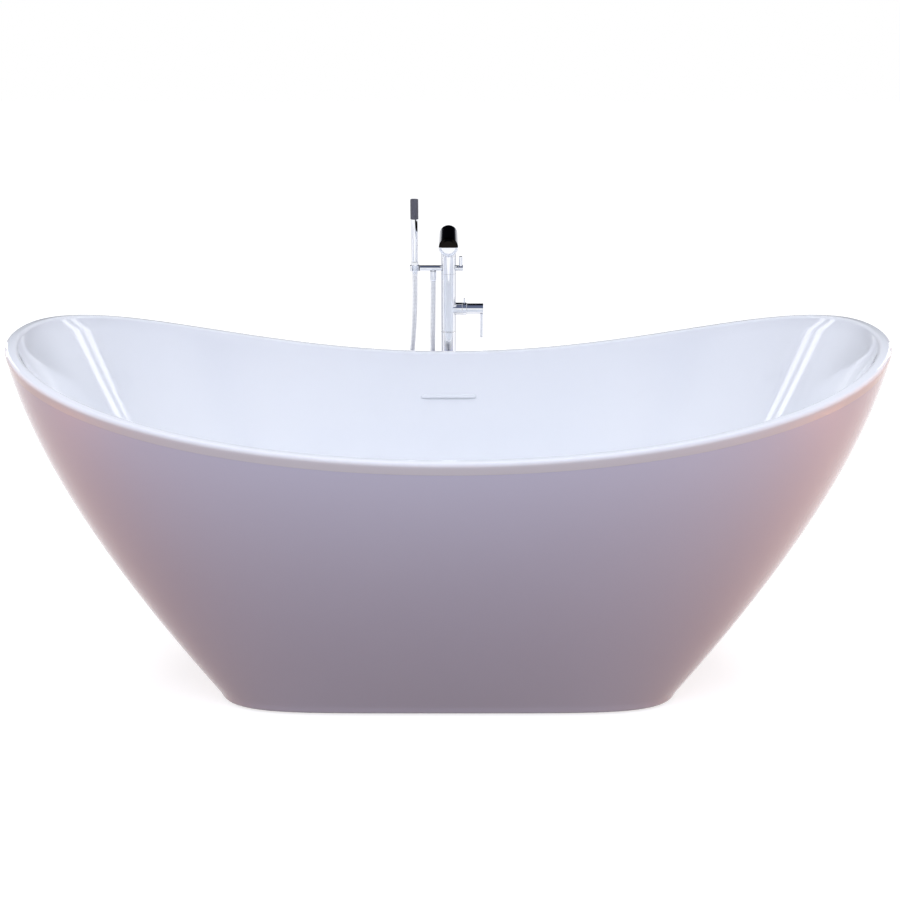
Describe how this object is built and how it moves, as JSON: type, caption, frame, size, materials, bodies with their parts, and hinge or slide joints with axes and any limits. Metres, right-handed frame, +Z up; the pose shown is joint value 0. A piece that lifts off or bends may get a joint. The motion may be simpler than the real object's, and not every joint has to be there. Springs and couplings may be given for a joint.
{
  "type": "freestanding bathtub",
  "caption": "Double-slipper freestanding acrylic bathtub with slot overflow, click waste, framed feet and a floor-standing filler with swivel spout and hand shower.",
  "frame": {"origin": "on the floor, at the centre of the footprint of the tub and its filler together", "axes": "+X along the tub, +Y from the open front side to the filler behind the tub, +Z up"},
  "size_m": [1.7, 0.905, 0.9158],
  "materials": {
    "white_acrylic": "high gloss moulded acrylic",
    "skirt_acrylic": "high gloss moulded acrylic",
    "white_plastic": "satin moulded",
    "black_plastic": "moulded",
    "grey_plastic": "satin dark grey",
    "rubber": "matt",
    "board": "sealed chipboard",
    "galvanised_steel": "galvanised",
    "brass": "machined",
    "chrome": "polished plating",
    "silver_hose": "smooth silver plastic hose"
  },
  "bodies": {
    "root": {"basin": "white_acrylic", "outer_skirt": "skirt_acrylic", "overflow_hood": "white_acrylic", "base_board": "board", "frame_rail_front": "galvanised_steel", "frame_rail_back": "galvanised_steel", "frame_crossbar_left": "galvanised_steel", "frame_crossbar_right": "galvanised_steel", "waste_upper_seal": "rubber", "waste_flange": "chrome", "waste_lower_seal": "rubber", "waste_housing": "white_plastic", "trap_nut": "white_plastic", "trap_body": "white_plastic", "overflow_gasket": "rubber", "overflow_duct": "white_plastic", "overflow_pipe": "white_plastic", "floor_anchor": "galvanised_steel", "flange_cover": "chrome", "column_lower": "chrome", "column_collar": "chrome", "hot_supply": "brass", "cold_supply": "brass", "valve_body": "chrome", "cartridge": "brass", "crossbar_body": "chrome", "shower_cradle": "chrome", "hose_outlet_nut": "chrome", "spout_collar": "chrome", "hose": "silver_hose", "foot_nut_left_front": "galvanised_steel", "foot_nut_left_back": "galvanised_steel", "foot_nut_right_front": "galvanised_steel", "foot_nut_right_back": "galvanised_steel"},
    "plug": {"plug_cap": "chrome", "plug_seal": "rubber", "plug_stem": "brass"},
    "spout": {"spout": "chrome", "aerator_ring": "chrome", "aerator_insert": "grey_plastic"},
    "flow_control": {"flow_ring": "chrome", "flow_pin": "chrome"},
    "temperature_control": {"temperature_cap": "chrome", "lever_rod": "chrome"},
    "diverter": {"diverter_knob": "chrome", "diverter_spindle": "brass", "diverter_pin": "chrome"},
    "hand_shower": {"handset_head": "grey_plastic", "handset_handle": "chrome", "handset_nut": "chrome"},
    "foot_left_front": {"foot_stud_left_front": "galvanised_steel", "foot_pad_left_front": "black_plastic"},
    "foot_left_back": {"foot_stud_left_back": "galvanised_steel", "foot_pad_left_back": "black_plastic"},
    "foot_right_front": {"foot_stud_right_front": "galvanised_steel", "foot_pad_right_front": "black_plastic"},
    "foot_right_back": {"foot_stud_right_back": "galvanised_steel", "foot_pad_right_back": "black_plastic"}
  },
  "joints": [
    {"name": "plug_lift", "type": "slide", "parent": "root", "child": "plug", "axis": [0, 0, 1], "range_m": [0, 0.008]},
    {"name": "spout_swivel", "type": "hinge", "parent": "root", "child": "spout", "pos_m": [0, 0.4075, 0.8], "axis": [0, 0, 1], "range_deg": [-60, 60]},
    {"name": "flow_turn", "type": "hinge", "parent": "root", "child": "flow_control", "pos_m": [0.0373, 0.4075, 0.661], "axis": [1, 0, 0], "range_deg": [0, 90]},
    {"name": "temperature_turn", "type": "hinge", "parent": "root", "child": "temperature_control", "pos_m": [0.06, 0.4075, 0.661], "axis": [1, 0, 0], "range_deg": [-45, 45]},
    {"name": "diverter_turn", "type": "hinge", "parent": "root", "child": "diverter", "pos_m": [0.028, 0.4075, 0.7573], "axis": [1, 0, 0], "range_deg": [0, 90]},
    {"name": "hand_shower_lift", "type": "slide", "parent": "root", "child": "hand_shower", "axis": [0, 0, 1], "range_m": [0, 0.08]},
    {"name": "foot_left_front_level", "type": "slide", "parent": "root", "child": "foot_left_front", "axis": [0, 0, -1], "range_m": [0, 0.012]},
    {"name": "foot_left_back_level", "type": "slide", "parent": "root", "child": "foot_left_back", "axis": [0, 0, -1], "range_m": [0, 0.012]},
    {"name": "foot_right_front_level", "type": "slide", "parent": "root", "child": "foot_right_front", "axis": [0, 0, -1], "range_m": [0, 0.012]},
    {"name": "foot_right_back_level", "type": "slide", "parent": "root", "child": "foot_right_back", "axis": [0, 0, -1], "range_m": [0, 0.012]}
  ]
}
